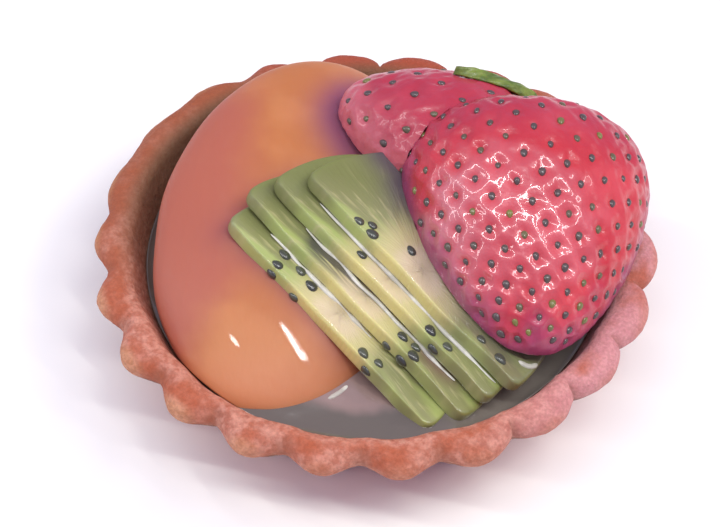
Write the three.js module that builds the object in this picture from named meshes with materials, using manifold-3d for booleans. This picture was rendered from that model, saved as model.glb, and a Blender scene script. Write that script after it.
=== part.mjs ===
// A small fruit tart: a fluted pastry shell filled with glazed cream, and on it a thick slice
// of peach, four half slices of kiwi laid like roof tiles and two strawberry halves.
// Millimetres, +Z up, the base of the shell on Z = 0 and its middle on the Z axis.

import * as THREE from "three";
import { mergeVertices } from "three/addons/utils/BufferGeometryUtils.js";
import Module from "manifold-3d";

const wasm = await Module();
wasm.setup();

// Pastry shell
const rimRadius = 45;
const rimHeight = 16.4;
const lipHeight = 14.8;
const lipRadius = 38.5;
const baseRadius = 34.5;
const baseRounding = 1.4;
const floorThickness = 4.2;
const innerFloorRadius = 34;
const innerFillet = 0.8;

// Corners of the rim's curves, out and up from the rim's radius and height, and of the lip's
// and the floor corner's, from the lip and the floor
const flankCorners = [[-1.2, -4.2], [0.4, -2.4], [0, -0.5], [-2.8, 0]];
const crownCorners = [[-2.8, 0], [-4.6, 0.3]];
const lipCorner = [0.2, 1.4];
const footSpread = 0.4;
const floorCorners = [-0.3, -1.6];

// Fluting of the shell, in degrees round it: crisp notches on the right, soft ones on the left,
// hardly any at the back left
const fluteCount = 22;
const fluteDepth = 2.6;
const fluteSharpness = { crisp: 0.62, soft: 1.6 };
const softSide = { angle: 200, from: -0.35, to: 0.25 };
const calmSide = { angle: 148, share: 0.8, narrowness: 7 };
const facetsPerFlute = 6;
const firstNotch = -190.4;
const fluteDrift = 1.97;
const fluteDriftPhase = 67.2;
const wallFade = { from: -14, to: rimHeight - 5 };
const crownFade = { above: rimHeight - 2, lip: 0.12, from: lipRadius + 1, to: rimRadius - 0.6 };
const creaseDepth = 0.4;

// Hand pressing: waves of the rim as share, number round it and phase, and the slumped back
const pressedWaves = [[0.5, 2, 0.6], [0.3, 5, 2.1], [0.2, 9, 0]];
const pressing = { inward: 0.4, down: 0.3, shift: 2 };
const sagFrom = 8;
const backSlump = { angle: 85, inward: 0.4, down: 2.5, narrowness: 6 };

// Cream filling, and the gaps kept between pieces that touch and between fruit and wall
const fillingTop = 10.5;
const fillingEdge = { foot: 2.4, inset: 1.4, drop: 0.2 };
const fillingFacets = 52;
const gap = 0.3;
const wallGap = 0.5;
const rimClearance = 0.8;

// Peach slice
const peachCentre = [-12.3, 2.1, 15];
const peachHalfWidth = 22;
const peachHalfLength = 33.4;
const peachCrown = 7.5;
const peachKeel = 16;
const peachTilt = 8;
const peachRoll = 10;
const peachTurn = -10.4;
const peachFacets = [34, 20];

// Kiwi half slices: the first one's straight edge, and each slice's steps from there
const kiwiEdgeMiddle = [-7.65, -19, 18.9];
const kiwiHeading = -44;
const kiwiFall = 17.4;
const kiwiRoll = 12;
const kiwiThickness = 2.7;
const kiwiBevel = 0.35;
const kiwiHeart = 3;
const kiwiFacets = 18;
const kiwiSlices = [
  { radius: 22.6, across: 0, along: 0.6 },
  { radius: 24.2, across: 4, along: 1.2 },
  { radius: 23.8, across: 7.3, along: 2.4 },
  { radius: 22.8, across: 10.2, along: 4.8 },
];

// Kiwi seeds of each slice. On its upper face: along its straight edge and across from it.
// On the side under that edge: along the edge and down from it.
const kiwiSeed = { length: 2, width: 1.45, depth: 0.6, sideSunk: 0.15 };
const kiwiSeedPlaces = [
  {
    face: [[-12.7, 3.2], [-12, 0.8], [-9.1, 3.1], [-6.2, 2.6], [7.1, 0.9], [9.8, 1.6]],
    side: [[-11.8, 1.6], [-6.8, 1.7], [9.2, 1.5]],
  },
  { face: [[8.8, 2], [11.3, 2.4], [12.2, 0.8]], side: [[8, 1.7], [11.2, 1.7]] },
  { face: [[-5.9, 1.9], [10, 1.1], [13.6, 1.2]], side: [[12.2, 1.4]] },
  { face: [[-12.1, 0.8], [-10.3, 2], [-9.2, 0.8], [-3.5, 3.9], [14, 1.5], [18.1, 1.3]], side: [] },
];

// Strawberry halves, cut face down: heading is where the tip points, slope that of the cut face
const frontBerry = {
  centre: [23.6, -4.6, 20.8],
  heading: -89,
  slope: [-0.18, 0.13],
  width: 39.8,
  length: 41.4,
  height: 15.4,
  taper: 0.41,
  shoulder: 0.5,
  tip: 0.82,
  seeds: 140,
};
const backBerry = {
  centre: [8.6, 15.7, 22.5],
  heading: 153,
  slope: [-0.1, 0],
  width: 26,
  length: 31,
  height: 12,
  taper: 0.35,
  shoulder: 0.5,
  tip: 0.8,
  seeds: 40,
};
const seatDepth = 4;
const berryFacets = [28, 16];
const achene = { length: 1.4, width: 1.05, depth: 0.6, sunk: 0.05 };
const acheneStations = { first: 0.97, span: 1.9 };
const bareMargin = 0.14;
const smallStep = 0.02;
const poleStation = 0.9999;
const girthSamples = 50;

// Sepal left on the back strawberry, from its calyx along the far shoulder
const sepal = {
  stations: [-0.93, -0.04],
  turns: [142, 114],
  halfWidth: 10,
  calyxWidth: 0.14,
  pointWidth: 0.98,
  lift: 0.4,
  thickness: 0.7,
  wave: { height: 0.25, length: 9, slant: 2 },
  facets: [10, 2],
};

const radians = THREE.MathUtils.degToRad;
const mix = THREE.MathUtils.lerp;
const smooth = THREE.MathUtils.smoothstep;

// A closed geometry reduced to shared corners, without triangles of no area.
function closed(geometry) {
  geometry.deleteAttribute("normal");
  geometry.deleteAttribute("uv");
  const merged = mergeVertices(geometry, 1e-4);
  const corners = merged.index.array;
  const kept = [];
  for (let i = 0; i < corners.length; i += 3) {
    const [a, b, c] = [corners[i], corners[i + 1], corners[i + 2]];
    if (a !== b && b !== c && c !== a) kept.push(a, b, c);
  }
  merged.setIndex(kept);
  return merged;
}

function toManifold(geometry) {
  const vertProperties = new Float32Array(geometry.attributes.position.array);
  const triVerts = new Uint32Array(geometry.index.array);
  return new wasm.Manifold(new wasm.Mesh({ numProp: 3, vertProperties, triVerts }));
}

function fromManifold(solid) {
  const mesh = solid.getMesh();
  const geometry = new THREE.BufferGeometry();
  geometry.setAttribute("position", new THREE.BufferAttribute(mesh.vertProperties, 3));
  geometry.setIndex(new THREE.BufferAttribute(mesh.triVerts, 1));
  return geometry;
}

// A geometry with room taken out of it and grains joined to it, but no grain that would reach
// into such a room or into a neighbour's.
function shaped(geometry, grains, rooms, neighbours = []) {
  const hollows = rooms.map(toManifold);
  const kept = [...hollows, ...neighbours.map(toManifold)];
  const meets = (a, b) => a.intersect(b).getMesh().triVerts.length > 0;
  let solid = toManifold(geometry);
  for (const hollow of hollows) solid = solid.subtract(hollow);
  for (const grain of grains.map(toManifold)) {
    if (!kept.some((room) => meets(grain, room))) solid = solid.add(grain);
  }
  return fromManifold(solid);
}

function addPiece(group, name, geometry, color, roughness) {
  const material = new THREE.MeshStandardMaterial({ color, roughness, metalness: 0 });
  const mesh = new THREE.Mesh(geometry, material);
  mesh.name = name;
  group.add(mesh);
}

// The plan angle of the wall at a turn round the shell counted from its first notch:
// the notches are a little unevenly spaced.
function wallAngle(turn) {
  const even = turn + radians(firstNotch);
  return even + radians(fluteDrift) * Math.sin(even - radians(fluteDriftPhase));
}

// 1 on the side of the shell at this angle, falling to 0 a quarter turn from it.
function onSide(angle, side) {
  return Math.max(0, Math.cos(angle - radians(side.angle))) ** side.narrowness;
}

// How far a point lies below the crest of its flute: 1 in a deep notch, 0 on the crest.
function fluteHollow(turn, angle) {
  const softness = smooth(Math.cos(angle - radians(softSide.angle)), softSide.from, softSide.to);
  const sharpness = mix(fluteSharpness.crisp, fluteSharpness.soft, softness);
  const hollow = 1 - Math.abs(Math.sin((fluteCount / 2) * turn)) ** sharpness;
  return hollow * (1 - calmSide.share * onSide(angle, calmSide));
}

// Slow unevenness of hand-pressed pastry, within about -1..1.
function handPressed(angle) {
  return pressedWaves.reduce((sum, [share, count, phase]) => sum + share * Math.sin(count * angle + phase), 0);
}

// The shell's section: from the middle of its underside up the outside to the top of the rim,
// and from there down the inside to the middle of its floor.
function sectionPoint(radius, height) {
  return new THREE.Vector2(radius, height);
}

function fromRim([out, up]) {
  return sectionPoint(rimRadius + out, rimHeight + up);
}

function outerSection() {
  const foot = new THREE.QuadraticBezierCurve(
    sectionPoint(baseRadius - baseRounding, 0), sectionPoint(baseRadius, 0),
    sectionPoint(baseRadius + footSpread, baseRounding));
  const flank = new THREE.CubicBezierCurve(...flankCorners.map(fromRim));
  return [sectionPoint(0, 0), ...foot.getPoints(2), ...flank.getPoints(4)];
}

function innerSection() {
  const crown = new THREE.CubicBezierCurve(
    ...crownCorners.map(fromRim),
    sectionPoint(lipRadius + lipCorner[0], lipHeight + lipCorner[1]), sectionPoint(lipRadius, lipHeight));
  const corner = new THREE.QuadraticBezierCurve(
    sectionPoint(innerFloorRadius, floorThickness + innerFillet),
    ...floorCorners.map((out) => sectionPoint(innerFloorRadius + out, floorThickness)));
  return [...crown.getPoints(4).slice(1), ...corner.getPoints(2), sectionPoint(0, floorThickness)];
}

// How far the fluting moves a point of the section: fully at the top of the wall, less toward
// the base and over the crown, hardly at the lip and not at all on the inner wall.
function fluteShare(point, outside) {
  if (outside && point.y < crownFade.above) return smooth(point.y, wallFade.from, wallFade.to);
  if (!outside && point.y < lipHeight - 0.1) return 0;
  return mix(crownFade.lip, 1, smooth(point.x, crownFade.from, crownFade.to));
}

function crustGeometry() {
  const outer = outerSection();
  const section = [...outer, ...innerSection()];
  const facets = fluteCount * facetsPerFlute;
  const geometry = new THREE.LatheGeometry(section, facets);
  const position = geometry.attributes.position;
  for (let i = 0; i < position.count; i++) {
    const row = i % section.length;
    const point = section[row];
    const turn = (2 * Math.PI * Math.floor(i / section.length)) / facets;
    const angle = wallAngle(turn);
    const share = fluteShare(point, row < outer.length);
    const hollow = fluteHollow(turn, angle);
    const slump = onSide(angle, backSlump);
    const inward = fluteDepth * hollow - pressing.inward * handPressed(angle) + backSlump.inward * slump;
    const lowered = creaseDepth * share * hollow ** 2 + backSlump.down * slump;
    const down = lowered - pressing.down * handPressed(angle + pressing.shift);
    const radius = point.x === 0 ? 0 : point.x - share * inward;
    const height = point.y - (point.x < innerFloorRadius ? 0 : smooth(point.y, sagFrom, rimHeight) * down);
    position.setXYZ(i, radius * Math.cos(angle), height, -radius * Math.sin(angle));
  }
  return closed(geometry.rotateX(Math.PI / 2));
}

// Radius of the shell's inner wall at a height.
function innerWallRadius(height) {
  const bottom = floorThickness + innerFillet;
  return mix(innerFloorRadius, lipRadius, (height - bottom) / (lipHeight - bottom));
}

function fillingGeometry() {
  const bottom = floorThickness + gap;
  const shoulder = bottom + 2 * innerFillet;
  const section = [
    sectionPoint(0, bottom),
    sectionPoint(innerFloorRadius - fillingEdge.foot, bottom),
    sectionPoint(innerWallRadius(shoulder) - 2 * gap, shoulder),
    sectionPoint(innerWallRadius(fillingTop) - 2 * gap, fillingTop - fillingEdge.drop),
    sectionPoint(innerWallRadius(fillingTop) - fillingEdge.inset, fillingTop),
    sectionPoint(0, fillingTop),
  ];
  return closed(new THREE.LatheGeometry(section, fillingFacets).rotateX(Math.PI / 2));
}

// Fruit that would reach into the shell's wall or its lip is pressed flat against it.
function pressAgainstWall(position) {
  for (let i = 0; i < position.count; i++) {
    const height = position.getZ(i);
    const radius = Math.hypot(position.getX(i), position.getY(i));
    const limit = innerWallRadius(Math.min(height, lipHeight)) - wallGap;
    const scale = height < rimHeight + rimClearance ? Math.min(1, limit / radius) : 1;
    position.setXY(i, position.getX(i) * scale, position.getY(i) * scale);
  }
}

// A plump slice, low crowned and deep sided, its back end raised on the rim
// and its right side falling away under the kiwi.
function peachGeometry() {
  const geometry = new THREE.SphereGeometry(1, ...peachFacets).rotateX(Math.PI / 2);
  const position = geometry.attributes.position;
  for (let i = 0; i < position.count; i++) {
    const height = position.getZ(i);
    position.setZ(i, height * (height > 0 ? peachCrown : peachKeel));
  }
  geometry.scale(peachHalfWidth, peachHalfLength, 1);
  geometry.rotateX(radians(peachTilt));
  geometry.rotateY(radians(peachRoll));
  geometry.rotateZ(radians(peachTurn));
  geometry.translate(...peachCentre);
  for (let i = 0; i < position.count; i++) {
    position.setZ(i, Math.max(position.getZ(i), fillingTop + gap));
  }
  pressAgainstWall(position);
  return closed(geometry);
}

// The frame of a kiwi slice: X along its straight edge, Y across it, Z out of its upper face.
function kiwiFrame(k) {
  const heading = radians(kiwiHeading);
  const level = new THREE.Vector3(-Math.sin(heading), Math.cos(heading), 0);
  const along = new THREE.Vector3(Math.cos(heading), Math.sin(heading), 0);
  along.multiplyScalar(Math.cos(radians(kiwiFall))).setZ(-Math.sin(radians(kiwiFall)));
  const across = level.applyAxisAngle(along, -radians(kiwiRoll));
  const normal = along.clone().cross(across);
  const middle = new THREE.Vector3(...kiwiEdgeMiddle);
  middle.addScaledVector(along, kiwiSlices[k].along);
  middle.addScaledVector(across, kiwiSlices[k].across);
  middle.addScaledVector(normal, k * (kiwiThickness + gap));
  return new THREE.Matrix4().makeBasis(along, across, normal).setPosition(middle);
}

// A half slice, its heart a little way in from the straight edge, grown by a margin on every side.
function kiwiHalf(k, margin) {
  const radius = kiwiSlices[k].radius - kiwiBevel + margin;
  const edge = kiwiBevel - margin;
  const below = Math.asin((kiwiHeart - edge) / radius);
  const outline = new THREE.Shape();
  outline.moveTo(-radius * Math.cos(below), edge);
  outline.lineTo(radius * Math.cos(below), edge);
  outline.absarc(0, kiwiHeart, radius, -below, Math.PI + below, false);
  const geometry = new THREE.ExtrudeGeometry(outline, {
    depth: kiwiThickness - 2 * kiwiBevel + 2 * margin,
    curveSegments: kiwiFacets,
    bevelThickness: kiwiBevel,
    bevelSize: kiwiBevel,
    bevelSegments: 1,
  });
  geometry.translate(0, 0, kiwiBevel - kiwiThickness - margin);
  geometry.applyMatrix4(kiwiFrame(k));
  if (margin === 0) pressAgainstWall(geometry.attributes.position);
  return closed(geometry);
}

// A small flattened grain at a point, with its long direction and the direction that it faces.
function grainAt(centre, along, outward, size, detailed) {
  const side = outward.clone().cross(along).normalize();
  const long = side.clone().cross(outward).normalize();
  const geometry = detailed ? new THREE.IcosahedronGeometry(0.5, 0) : new THREE.OctahedronGeometry(0.5, 0);
  geometry.scale(size.length, size.width, size.depth);
  geometry.applyMatrix4(new THREE.Matrix4().makeBasis(long, side, outward).setPosition(centre));
  return closed(geometry);
}

// Seeds in the strip of a slice that the next one leaves bare, and on its side, each pointing
// away from the heart.
function kiwiSeeds(k) {
  const frame = kiwiFrame(k);
  const seedAt = (x, y, z, outward) => {
    const centre = new THREE.Vector3(x, y, z).applyMatrix4(frame);
    const along = new THREE.Vector3(x, y - kiwiHeart, 0).transformDirection(frame);
    return grainAt(centre, along, outward.transformDirection(frame), kiwiSeed, true);
  };
  const { face, side } = kiwiSeedPlaces[k];
  const onFace = face.map(([x, y]) => seedAt(x, y, 0, new THREE.Vector3(0, 0, 1)));
  const onSide = side.map(([x, down]) => seedAt(x, kiwiSeed.sideSunk, -down, new THREE.Vector3(0, -1, 0)));
  return [...onFace, ...onSide];
}

function kiwiGeometry(k, rooms) {
  const floor = fillingTop + gap;
  const below = closed(new THREE.BoxGeometry(4 * rimRadius, 4 * rimRadius, floor).translate(0, 0, floor / 2));
  return shaped(kiwiHalf(k, 0), kiwiSeeds(k), [below, ...rooms]);
}

// The frame of a berry: X toward its tip, Y to its side, Z out of its round side.
function berryFrame(berry) {
  const normal = new THREE.Vector3(-berry.slope[0], -berry.slope[1], 1).normalize();
  const heading = radians(berry.heading);
  const tip = new THREE.Vector3(Math.cos(heading), Math.sin(heading), 0).projectOnPlane(normal).normalize();
  const side = normal.clone().cross(tip);
  return new THREE.Matrix4().makeBasis(tip, side, normal).setPosition(...berry.centre);
}

// Girth of a berry at a station from its calyx (-1) to its tip (1).
function berryGirth(berry, station) {
  const power = mix(berry.shoulder, berry.tip, (station + 1) / 2);
  return Math.sqrt(Math.max(0, 1 - station * station)) ** power * (1 - berry.taper * station);
}

function greatestGirth(berry) {
  const stations = Array.from({ length: 2 * girthSamples + 1 }, (_, i) => i / girthSamples - 1);
  return Math.max(...stations.map((station) => berryGirth(berry, station)));
}

// A point of the berry's round side in its own frame, a margin above the skin.
function berryPoint(berry, station, turn, margin) {
  const girth = berryGirth(berry, station) / greatestGirth(berry);
  const half = (berry.width / 2) * girth + margin;
  const rise = berry.height * girth + margin;
  const reach = (berry.length / 2 + margin) * station;
  return new THREE.Vector3(reach, half * Math.cos(turn), rise * Math.sin(turn));
}

// Half a berry, grown by a margin on every side and by a further depth below its cut face.
function berryHalf(berry, margin, depth = 0) {
  const geometry = new THREE.SphereGeometry(1, ...berryFacets);
  const position = geometry.attributes.position;
  for (let i = 0; i < position.count; i++) {
    const station = position.getY(i);
    const turn = Math.atan2(position.getZ(i), -position.getX(i));
    const point = berryPoint(berry, station, turn, margin);
    if (Math.abs(station) > poleStation) point.set(point.x, 0, 0);
    position.setXYZ(i, point.x, point.y, point.z > 0 ? point.z - margin : -margin - depth);
  }
  return closed(geometry.applyMatrix4(berryFrame(berry)));
}

// Seeds spread evenly over the round side of a berry along a golden-angle spiral.
function achenes(berry) {
  const frame = berryFrame(berry);
  const golden = Math.PI * (3 - Math.sqrt(5));
  const grains = [];
  for (let i = 0; i < 2 * berry.seeds; i++) {
    const station = acheneStations.first - (acheneStations.span * (i + 0.5)) / (2 * berry.seeds);
    const turn = (i * golden) % (2 * Math.PI);
    if (turn < bareMargin || turn > Math.PI - bareMargin) continue;
    const centre = berryPoint(berry, station, turn, -achene.sunk);
    const along = berryPoint(berry, station + smallStep, turn, -achene.sunk).sub(centre);
    const around = berryPoint(berry, station, turn + smallStep, -achene.sunk).sub(centre);
    const outward = around.clone().cross(along).transformDirection(frame);
    grains.push(grainAt(centre.applyMatrix4(frame), along.transformDirection(frame), outward, achene, false));
  }
  return grains;
}

function berryGeometry(berry, rooms, neighbours) {
  return shaped(berryHalf(berry, 0), achenes(berry), rooms, neighbours);
}

// Corners of the sepal: rows across it from calyx to point, first its lower face, then its upper.
function sepalCorners(steps, lanes) {
  const corners = [];
  for (const rise of [sepal.lift, sepal.lift + sepal.thickness]) {
    for (let i = 0; i <= steps; i++) {
      const share = i / steps;
      const fullness = Math.sin(Math.PI * mix(sepal.calyxWidth, sepal.pointWidth, share));
      for (let j = 0; j <= lanes; j++) {
        const lane = (2 * j) / lanes - 1;
        const turn = radians(mix(...sepal.turns, share) + sepal.halfWidth * fullness * lane);
        const wave = 1 + Math.sin(sepal.wave.length * share + sepal.wave.slant * lane);
        const above = rise + sepal.wave.height * wave;
        corners.push(berryPoint(backBerry, mix(...sepal.stations, share), turn, above));
      }
    }
  }
  return corners;
}

// A thin pointed leaf laid over the back strawberry's shoulder, its two faces divided alike.
function sepalGeometry() {
  const [steps, lanes] = sepal.facets;
  const at = (face, i, j) => (face * (steps + 1) + i) * (lanes + 1) + j;
  const index = [];
  const quad = (a, b, c, d) => index.push(a, c, b, a, d, c);
  for (let i = 0; i < steps; i++) {
    for (let j = 0; j < lanes; j++) {
      quad(at(1, i, j), at(1, i + 1, j), at(1, i + 1, j + 1), at(1, i, j + 1));
      quad(at(0, i, j), at(0, i, j + 1), at(0, i + 1, j + 1), at(0, i + 1, j));
    }
    quad(at(1, i, 0), at(0, i, 0), at(0, i + 1, 0), at(1, i + 1, 0));
    quad(at(1, i, lanes), at(1, i + 1, lanes), at(0, i + 1, lanes), at(0, i, lanes));
  }
  for (let j = 0; j < lanes; j++) {
    quad(at(1, 0, j), at(1, 0, j + 1), at(0, 0, j + 1), at(0, 0, j));
    quad(at(1, steps, j), at(0, steps, j), at(0, steps, j + 1), at(1, steps, j + 1));
  }
  const geometry = new THREE.BufferGeometry().setFromPoints(sepalCorners(steps, lanes));
  geometry.setIndex(index);
  return geometry.applyMatrix4(berryFrame(backBerry));
}

const tart = new THREE.Group();
const sliceNumbers = kiwiSlices.map((_, k) => k);
const frontRoom = berryHalf(frontBerry, gap);
const frontSeat = berryHalf(frontBerry, gap, seatDepth);
const backRoom = berryHalf(backBerry, gap);
const kiwiRooms = sliceNumbers.map((k) => kiwiHalf(k, gap));
const leaf = sepalGeometry();

addPiece(tart, "crust", crustGeometry(), 0xc98556, 0.8);
addPiece(tart, "filling", fillingGeometry(), 0x6c655f, 0.25);
addPiece(tart, "peach_slice", shaped(peachGeometry(), [], [backRoom, ...kiwiRooms]), 0xdd8f56, 0.25);
for (const k of sliceNumbers) {
  addPiece(tart, `kiwi_slice_${k + 1}`, kiwiGeometry(k, [frontRoom, backRoom]), 0x93a05c, 0.3);
}
addPiece(tart, "strawberry_front", berryGeometry(frontBerry, [], [backRoom, ...kiwiRooms]), 0xd8484f, 0.3);
addPiece(tart, "strawberry_back", berryGeometry(backBerry, [frontSeat], [...kiwiRooms, leaf]), 0xc94a55, 0.3);
addPiece(tart, "strawberry_sepal", leaf, 0x7d9a45, 0.6);

export default tart;
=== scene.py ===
import math

import bmesh
import bpy
import numpy as np
from mathutils import Matrix, Vector
from mathutils.bvhtree import BVHTree
from mathutils.kdtree import KDTree


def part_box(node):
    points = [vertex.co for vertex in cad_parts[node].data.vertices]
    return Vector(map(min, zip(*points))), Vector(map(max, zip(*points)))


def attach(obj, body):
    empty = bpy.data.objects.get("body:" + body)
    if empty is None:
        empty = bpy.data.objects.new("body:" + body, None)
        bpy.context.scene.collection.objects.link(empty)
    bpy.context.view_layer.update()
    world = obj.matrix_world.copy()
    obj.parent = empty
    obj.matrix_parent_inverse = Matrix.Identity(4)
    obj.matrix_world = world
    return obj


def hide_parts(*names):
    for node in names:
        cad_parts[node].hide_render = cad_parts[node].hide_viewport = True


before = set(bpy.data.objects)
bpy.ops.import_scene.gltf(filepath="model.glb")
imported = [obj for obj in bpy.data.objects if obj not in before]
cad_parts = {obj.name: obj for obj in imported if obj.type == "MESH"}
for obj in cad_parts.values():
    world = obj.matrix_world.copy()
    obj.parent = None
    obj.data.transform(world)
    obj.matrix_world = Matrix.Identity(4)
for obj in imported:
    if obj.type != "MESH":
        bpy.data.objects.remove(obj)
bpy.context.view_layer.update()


# Studio. The tart stands on a plain, nearly white table, seen from above at arm's length. A warm
# soft light stands to its right and a little behind, a cool pale surround fills the shadows, and
# four narrow lamps above and beside it give the glazed fruit its white glints.
class Wire:
    """A value in a node tree: arithmetic on it adds Math nodes, and node() adds any other node."""

    def __init__(self, tree, socket=None):
        self.tree = tree
        self.socket = socket

    def node(self, kind, settings=None, sockets=None, output=0):
        node = self.tree.nodes.new(kind)
        for name, value in (settings or {}).items():
            setattr(node, name, value)
        for key, value in (sockets or {}).items():
            if isinstance(value, Wire):
                self.tree.links.new(value.socket, node.inputs[key])
            else:
                node.inputs[key].default_value = value
        return Wire(self.tree, node.outputs[output] if node.outputs else None)

    def also(self, output):
        return Wire(self.tree, self.socket.node.outputs[output])

    def math(self, operation, *values):
        return self.node("ShaderNodeMath", {"operation": operation}, dict(enumerate(values)))

    def __add__(self, other):
        return self.math("ADD", self, other)

    def __radd__(self, other):
        return self.math("ADD", other, self)

    def __sub__(self, other):
        return self.math("SUBTRACT", self, other)

    def __rsub__(self, other):
        return self.math("SUBTRACT", other, self)

    def __mul__(self, other):
        return self.math("MULTIPLY", self, other)

    def __rmul__(self, other):
        return self.math("MULTIPLY", other, self)

    def __pow__(self, other):
        return self.math("POWER", self, other)


def tone(red, green, blue):
    """A colour given as it looks on a screen, 0 to 255, for a socket."""
    share = np.array([red, green, blue]) / 255
    linear = np.where(share < 0.04045, share / 12.92, ((share + 0.055) / 1.055) ** 2.4)
    return (*linear.tolist(), 1.0)


class Finish:
    """A Principled material whose constant values are set on its sockets."""

    def __init__(self, name, **constants):
        self.material = bpy.data.materials.new(name)
        self.material.use_nodes = True
        self.tree = self.material.node_tree
        self.shader = self.tree.nodes["Principled BSDF"]
        for words, value in constants.items():
            self.shader.inputs[words.replace("_", " ")].default_value = value

    def start(self, kind, settings=None, sockets=None, output=0):
        return Wire(self.tree).node(kind, settings, sockets, output)

    def place(self):
        """Where each point of the surface lies, in metres."""
        return self.start("ShaderNodeTexCoord", output="Object")

    def mark(self, name):
        """What the mesh's corners have learned under this name."""
        return self.start("ShaderNodeAttribute", {"attribute_name": name}, output="Fac")

    def feed(self, **values):
        for words, value in values.items():
            self.tree.links.new(value.socket, self.shader.inputs[words.replace("_", " ")])

    def relief(self, height, depth):
        """Small relief, this deep, where the height goes from 0 to 1."""
        bump = height.node("ShaderNodeBump", sockets={"Strength": 1.0, "Distance": depth, "Height": height})
        self.feed(Normal=bump)


def put(name, data):
    """A new object with this data, in the scene."""
    thing = bpy.data.objects.new(name, data)
    bpy.context.scene.collection.objects.link(thing)
    return thing


LOOK_AT = Vector((-0.00235, -0.00467, 0.015))
CAMERA_DISTANCE = 0.32
CAMERA_ELEVATION = math.radians(50.3)
CAMERA_SENSOR_MM = 36
CAMERA_LENS_MM = 101.55
camera_data = bpy.data.cameras.new("camera")
camera_data.sensor_width = CAMERA_SENSOR_MM
camera_data.lens = CAMERA_LENS_MM
camera_data.clip_start = 0.01
camera = put("camera", camera_data)
camera_side = Vector((0, -math.cos(CAMERA_ELEVATION), math.sin(CAMERA_ELEVATION)))
camera.location = LOOK_AT + CAMERA_DISTANCE * camera_side
camera.rotation_euler = (math.pi / 2 - CAMERA_ELEVATION, 0, 0)
bpy.context.scene.camera = camera
bpy.context.scene.view_settings.view_transform = "Standard"

FLOOR_SIZE = 6.0
floor_mesh = bpy.data.meshes.new("floor")
half = FLOOR_SIZE / 2
corners = [(-half, -half, 0), (half, -half, 0), (half, half, 0), (-half, half, 0)]
floor_mesh.from_pydata(corners, [], [(0, 1, 2, 3)])
floor = put("floor", floor_mesh)
table_top = Finish("table_top", Base_Color=tone(248, 250, 240), Roughness=0.6)
floor_mesh.materials.append(table_top.material)


def soft_light(name, toward, distance, along, sizes, power, colour):
    """A rectangular light seen from the tart in this direction, its long side along another."""
    data = bpy.data.lights.new(name, "AREA")
    data.shape = "RECTANGLE"
    data.size, data.size_y = sizes
    data.energy = power
    data.color = colour
    back = Vector(toward).normalized()
    side = Vector(along) - back * back.dot(along)
    side.normalize()
    turned = Matrix((side, back.cross(side), back)).transposed().to_4x4()
    light = put(name, data)
    light.matrix_world = Matrix.Translation(LOOK_AT + distance * back) @ turned
    return light


WARM = (1.0, 0.95, 0.88)
WHITE = (1, 1, 1)
LAMP_DISTANCE = 0.55
key = soft_light("key", (0.74, 0.22, 0.6), 0.8, (0, 0, 1), (0.4, 0.4), 1.9, WARM)
key.visible_glossy = False
for name, way, along, sizes, power in (
    ("window", (0.287, -0.2, 0.93), (0.66, -0.74, 0), (0.2, 0.008), 0.35),
    ("long_lamp", (-0.06, -0.19, 0.98), (0.96, -0.26, 0), (1.15, 0.028), 2.2),
    ("side_lamp", (0.61, -0.12, 0.78), (0.15, -0.23, -0.15), (0.2, 0.03), 0.3),
    ("left_lamp", (-0.85, -0.05, 0.5), (0, 1, 0), (0.4, 0.04), 0.5),
):
    soft_light(name, way, LAMP_DISTANCE, along, sizes, power, WHITE)
world = bpy.data.worlds.new("surround")
world.use_nodes = True
surround = world.node_tree.nodes["Background"].inputs
surround["Color"].default_value = tone(218, 206, 255)
surround["Strength"].default_value = 0.6
bpy.context.scene.world = world


# Pastry shell. Shortcrust pressed by hand into a small fluted tin, baked blind and turned out: a
# flat floor, a steep wall of lobes, their notches crisp on the right and soft on the left, and a
# rounded rim that slumps a little at the back. A section is swept round and fluted by rule.
RIM_RADIUS = 0.045
RIM_HEIGHT = 0.0164
LIP_HEIGHT = 0.0148
LIP_RADIUS = 0.0385
BASE_RADIUS = 0.0345
BASE_ROUNDING = 0.0014
FLOOR_THICKNESS = 0.0042
INNER_FLOOR_RADIUS = 0.034
INNER_FILLET = 0.0008
FLUTES = 22
STEPS_PER_FLUTE = 26
FIRST_NOTCH = math.radians(-190.4)
MERGE_DISTANCE = 1e-6


def bezier(corners, count):
    """Points along the Bezier curve with these corners, the first left out."""
    share = np.linspace(0, 1, count + 1)[1:, None]
    points = [np.array(corner) + 0 * share for corner in corners]
    while len(points) > 1:
        points = [a + (b - a) * share for a, b in zip(points, points[1:])]
    return points[0]


def smooth(value, low, high):
    """0 at low and 1 at high, with a soft change between, for plain numbers."""
    share = np.clip((value - low) / (high - low), 0, 1)
    return share * share * (3 - 2 * share)


def between(value, low, high):
    """0 at low and 1 at high, with a soft change between, for a value in a node tree."""
    limits = {"Value": value, "From Min": low, "From Max": high}
    return value.node("ShaderNodeMapRange", {"interpolation_type": "SMOOTHSTEP"}, limits)


def blend(share, first, second):
    """The first colour where share is 0 and the second where it is 1."""
    return share.node("ShaderNodeMix", {"data_type": "RGBA"}, {0: share, 6: first, 7: second}, 2)


def cloudy(at, size, detail=3.0, roughness=0.5):
    """Soft uneven patches of about this size, around 0.5."""
    sockets = {"Vector": at, "Scale": 1 / size, "Detail": detail, "Roughness": roughness}
    return at.node("ShaderNodeTexNoise", sockets=sockets)


def split(vector):
    """The vector's X; also("Y") and also("Z") bring its other parts."""
    return vector.node("ShaderNodeSeparateXYZ", sockets={0: vector})


def length_of(vector):
    return vector.node("ShaderNodeVectorMath", {"operation": "LENGTH"}, {0: vector}, 1)


def stretch(vector, factors):
    """The vector with each part multiplied by its own factor."""
    return vector.node("ShaderNodeVectorMath", {"operation": "MULTIPLY"}, {0: vector, 1: factors})


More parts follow.
